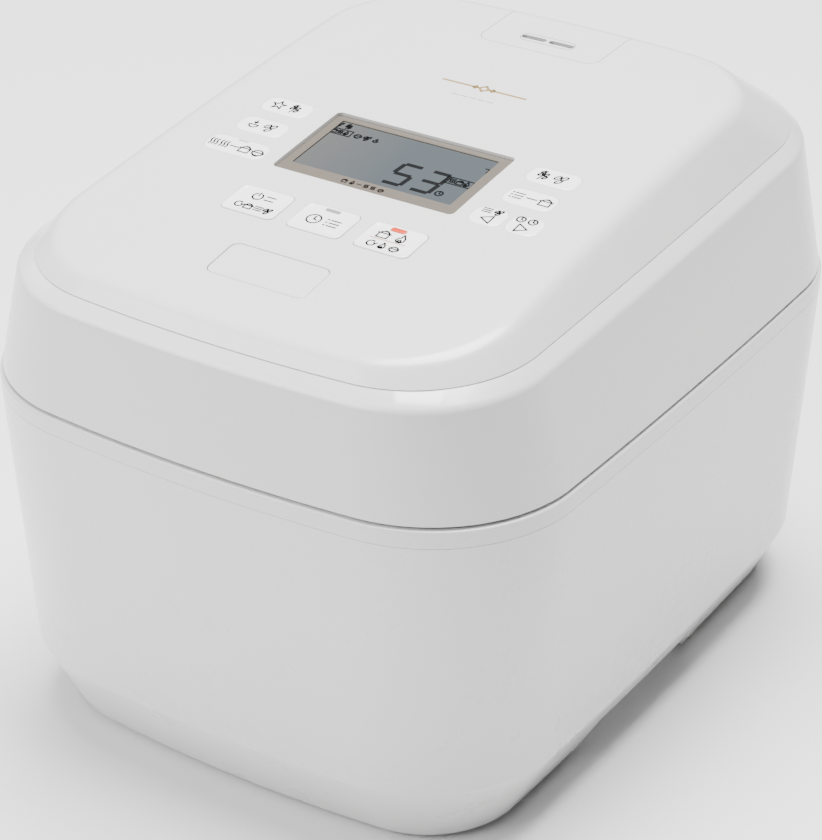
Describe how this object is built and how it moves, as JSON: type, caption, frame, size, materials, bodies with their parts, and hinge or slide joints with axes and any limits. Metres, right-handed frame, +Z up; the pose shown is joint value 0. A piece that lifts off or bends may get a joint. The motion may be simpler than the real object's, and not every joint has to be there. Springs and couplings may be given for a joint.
{
  "type": "rice cooker",
  "caption": "Countertop induction rice cooker with a tapered body, removable pot, thick rear-hinged lid with sloping display and keys, and lift-off steam cap.",
  "frame": {"origin": "on the table under the middle of the cooker's outline", "axes": "+X to the cooker's left side seen from behind, that is right seen from the front; -Y is the front; +Z up"},
  "size_m": [0.288, 0.3732, 0.269],
  "materials": {
    "shell_white": "satin gloss",
    "key_white": "satin",
    "lining_grey": "matt",
    "base_plastic": "matt",
    "rubber": "matt",
    "steel": "bright",
    "brushed_steel": "brushed",
    "pot_metal": "baked coating",
    "aluminium": "satin",
    "copper_coil": "enamelled wire",
    "ferrite": "matt",
    "board": "solder mask",
    "champagne": "satin metallic",
    "display_glass": "clear gloss",
    "display_dark": "matt"
  },
  "bodies": {
    "body": {"body_shell": "shell_white", "body_rim": "shell_white", "well_ring": "brushed_steel", "latch_striker": "steel", "base_plate": "base_plastic", "feet": "rubber", "body_screws": "steel", "inner_pot": "pot_metal", "coil_case": "lining_grey", "induction_coil": "copper_coil", "side_heater": "copper_coil", "coil_carrier": "base_plastic", "ferrite_bars": "ferrite", "sensor_spring": "steel", "fan_housing": "base_plastic", "power_board": "board", "heat_sink": "aluminium", "power_inlet": "base_plastic", "inlet_pins": "steel", "exhaust_grille": "base_plastic", "hinge_bracket": "steel", "hinge_shaft": "steel", "hinge_cover": "shell_white", "hinge_spring": "steel"},
    "lid": {"lid_ring": "shell_white", "lid_top_panel": "shell_white", "lid_base": "lining_grey", "lid_hinge_arm": "lining_grey", "lid_screws": "steel", "inner_lid": "brushed_steel", "inner_lid_gasket": "rubber", "lid_heater": "aluminium", "duct_seals": "rubber", "valve_seat": "lining_grey", "valve_solenoid": "steel", "steam_duct": "lining_grey", "display_bezel": "champagne", "display_glass": "display_glass", "display_module": "display_dark", "control_board": "board", "latch_pin": "steel", "latch_spring": "steel"},
    "centre_sensor": {"centre_sensor": "aluminium"},
    "fan_rotor": {"fan_rotor": "base_plastic"},
    "release_button": {"release_button": "shell_white"},
    "latch_hook": {"latch_hook": "base_plastic"},
    "valve_ball": {"valve_ball": "steel"},
    "solenoid_plunger": {"solenoid_plunger": "steel"},
    "safety_valve": {"safety_valve": "steel"},
    "steam_cap": {"steam_cap": "shell_white"},
    "key_cancel": {"key_cancel": "key_white"},
    "key_timer": {"key_timer": "key_white"},
    "key_cook": {"key_cook": "key_white"},
    "key_grade": {"key_grade": "key_white"},
    "key_small_batch": {"key_small_batch": "key_white"},
    "key_keep_warm": {"key_keep_warm": "key_white"},
    "key_rice": {"key_rice": "key_white"},
    "key_course": {"key_course": "key_white"},
    "key_back": {"key_back": "key_white"},
    "key_forward": {"key_forward": "key_white"}
  },
  "joints": [
    {"name": "lid_hinge", "type": "hinge", "parent": "body", "child": "lid", "pos_m": [0, 0.178, 0.178], "axis": [-1, 0, 0], "range_deg": [0, 85]},
    {"name": "key_cancel_press", "type": "slide", "parent": "lid", "child": "key_cancel", "axis": [0, 0.1407, -0.99], "range_m": [0, 0.0008], "stiffness_N_per_m": 300, "springref_m": -0.002},
    {"name": "key_timer_press", "type": "slide", "parent": "lid", "child": "key_timer", "axis": [0, 0.1407, -0.99], "range_m": [0, 0.0008], "stiffness_N_per_m": 300, "springref_m": -0.002},
    {"name": "key_cook_press", "type": "slide", "parent": "lid", "child": "key_cook", "axis": [0, 0.1407, -0.99], "range_m": [0, 0.0008], "stiffness_N_per_m": 300, "springref_m": -0.002},
    {"name": "key_grade_press", "type": "slide", "parent": "lid", "child": "key_grade", "axis": [0, 0.1081, -0.9941], "range_m": [0, 0.0004], "stiffness_N_per_m": 300, "springref_m": -0.002},
    {"name": "key_small_batch_press", "type": "slide", "parent": "lid", "child": "key_small_batch", "axis": [0, 0.1168, -0.9932], "range_m": [0, 0.0004], "stiffness_N_per_m": 300, "springref_m": -0.002},
    {"name": "key_keep_warm_press", "type": "slide", "parent": "lid", "child": "key_keep_warm", "axis": [0, 0.1255, -0.9921], "range_m": [0, 0.0004], "stiffness_N_per_m": 300, "springref_m": -0.002},
    {"name": "key_rice_press", "type": "slide", "parent": "lid", "child": "key_rice", "axis": [0, 0.1081, -0.9941], "range_m": [0, 0.0004], "stiffness_N_per_m": 300, "springref_m": -0.002},
    {"name": "key_course_press", "type": "slide", "parent": "lid", "child": "key_course", "axis": [0, 0.1168, -0.9932], "range_m": [0, 0.0004], "stiffness_N_per_m": 300, "springref_m": -0.002},
    {"name": "key_back_press", "type": "slide", "parent": "lid", "child": "key_back", "axis": [0, 0.1255, -0.9921], "range_m": [0, 0.0004], "stiffness_N_per_m": 300, "springref_m": -0.002},
    {"name": "key_forward_press", "type": "slide", "parent": "lid", "child": "key_forward", "axis": [0, 0.1255, -0.9921], "range_m": [0, 0.0004], "stiffness_N_per_m": 300, "springref_m": -0.002},
    {"name": "release_press", "type": "slide", "parent": "lid", "child": "release_button", "axis": [0, 0.1588, -0.9873], "range_m": [0, 0.004], "stiffness_N_per_m": 400, "springref_m": -0.003},
    {"name": "latch_turn", "type": "hinge", "parent": "lid", "child": "latch_hook", "pos_m": [0, -0.172, 0.1996], "axis": [-1, 0, 0], "range_deg": [0, 4.42], "deforming": ["latch_spring"]},
    {"name": "steam_cap_lift", "type": "slide", "parent": "lid", "child": "steam_cap", "axis": [0, 0, 1], "range_m": [0, 0.04]},
    {"name": "plunger_slide", "type": "slide", "parent": "lid", "child": "solenoid_plunger", "axis": [-1, 0, 0], "range_m": [0, 0.003], "stiffness_N_per_m": 200, "springref_m": -0.002},
    {"name": "ball_lift", "type": "slide", "parent": "lid", "child": "valve_ball", "axis": [-0.7071, 0, 0.7071], "range_m": [0, 0.00425]},
    {"name": "safety_lift", "type": "slide", "parent": "lid", "child": "safety_valve", "axis": [0, 0, 1], "range_m": [0, 0.003]},
    {"name": "sensor_press", "type": "slide", "parent": "body", "child": "centre_sensor", "axis": [0, 0, 1], "range_m": [-0.0025, 0], "stiffness_N_per_m": 400, "springref_m": 0.003, "deforming": ["sensor_spring"]},
    {"name": "fan_spin", "type": "hinge", "parent": "body", "child": "fan_rotor", "pos_m": [0.052, 0.096, 0.018], "axis": [0, 0, 1], "continuous": true}
  ],
  "couplings": [
    {"joint": "latch_turn", "follows": "release_press", "rad_per_m": 19.23},
    {"joint": "ball_lift", "follows": "plunger_slide", "ratio": 1.4142}
  ]
}
